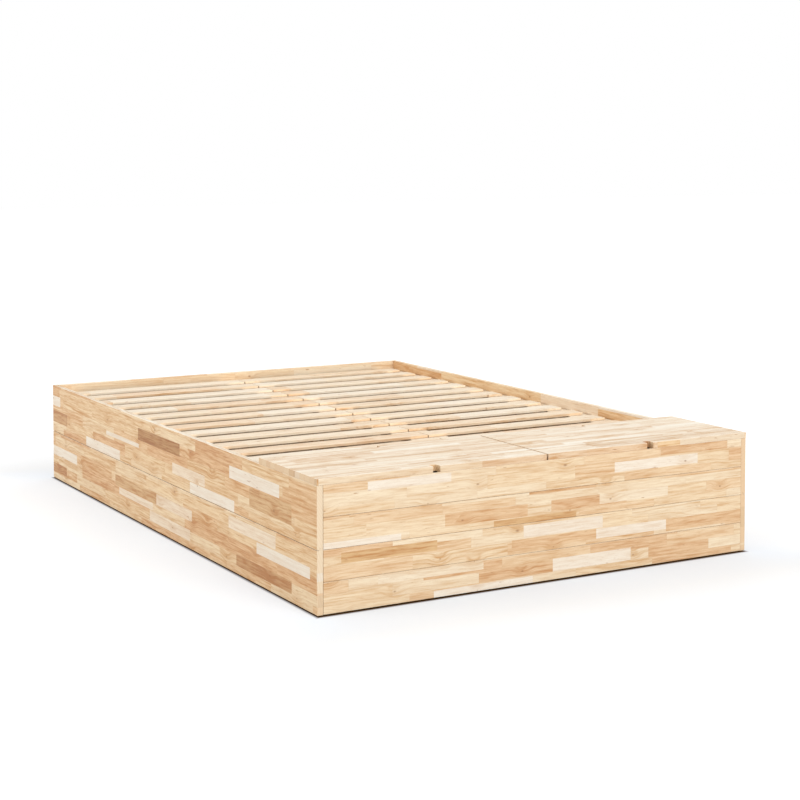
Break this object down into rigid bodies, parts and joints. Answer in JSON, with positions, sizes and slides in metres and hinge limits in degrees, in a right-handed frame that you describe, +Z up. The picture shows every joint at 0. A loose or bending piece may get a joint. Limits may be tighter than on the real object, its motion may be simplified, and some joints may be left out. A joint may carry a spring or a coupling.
{
  "type": "bed base",
  "caption": "Solid wood bed base with a slatted mattress recess and a storage chest under lift-off lids at its foot end.",
  "frame": {"origin": "on the floor, below the middle of the bed", "axes": "+Y towards the head end, +X to the right seen from the foot end, +Z up"},
  "size_m": [1.64, 2.42, 0.41],
  "materials": {
    "side_boards": "finger-jointed board, clear oil, satin",
    "foot_boards": "finger-jointed board, clear oil, satin",
    "lid_boards": "finger-jointed board, clear oil, satin",
    "slat_timber": "planed timber with rounded edges",
    "inner_timber": "planed timber, unfinished",
    "screw_steel": "zinc plated",
    "glide_plastic": "moulded"
  },
  "bodies": {
    "base": {"side_board_left_lower": "side_boards", "side_board_left_upper": "side_boards", "side_board_right_lower": "side_boards", "side_board_right_upper": "side_boards", "head_board_lower": "side_boards", "head_board_upper": "side_boards", "foot_board_1": "foot_boards", "foot_board_2": "foot_boards", "foot_board_3": "foot_boards", "foot_board_4": "foot_boards", "chest_rear_wall": "inner_timber", "chest_partition": "inner_timber", "chest_floor_left": "inner_timber", "chest_floor_right": "inner_timber", "chest_floor_battens": "inner_timber", "slat_ledge_left": "inner_timber", "slat_ledge_right": "inner_timber", "ledge_rails": "inner_timber", "centre_beam": "inner_timber", "centre_cleat_left": "inner_timber", "centre_cleat_right": "inner_timber", "centre_legs": "inner_timber", "beam_end_posts": "inner_timber", "corner_posts": "inner_timber", "tie_battens": "inner_timber", "slat_pegs": "inner_timber", "wood_screws": "screw_steel", "floor_glides": "glide_plastic", "slat_left_01": "slat_timber", "slat_left_02": "slat_timber", "slat_left_03": "slat_timber", "slat_left_04": "slat_timber", "slat_left_05": "slat_timber", "slat_left_06": "slat_timber", "slat_left_07": "slat_timber", "slat_left_08": "slat_timber", "slat_left_09": "slat_timber", "slat_left_10": "slat_timber", "slat_left_11": "slat_timber", "slat_left_12": "slat_timber", "slat_left_13": "slat_timber", "slat_left_14": "slat_timber", "slat_right_01": "slat_timber", "slat_right_02": "slat_timber", "slat_right_03": "slat_timber", "slat_right_04": "slat_timber", "slat_right_05": "slat_timber", "slat_right_06": "slat_timber", "slat_right_07": "slat_timber", "slat_right_08": "slat_timber", "slat_right_09": "slat_timber", "slat_right_10": "slat_timber", "slat_right_11": "slat_timber", "slat_right_12": "slat_timber", "slat_right_13": "slat_timber", "slat_right_14": "slat_timber"},
    "lid_left_panel": {"lid_left": "lid_boards", "lid_battens_left": "inner_timber"},
    "lid_right_panel": {"lid_right": "lid_boards", "lid_battens_right": "inner_timber"}
  },
  "joints": [
    {"name": "lid_left_lift", "type": "slide", "parent": "base", "child": "lid_left_panel", "axis": [0, 0, 1], "range_m": [0, 0.3]},
    {"name": "lid_right_lift", "type": "slide", "parent": "base", "child": "lid_right_panel", "axis": [0, 0, 1], "range_m": [0, 0.3]}
  ]
}
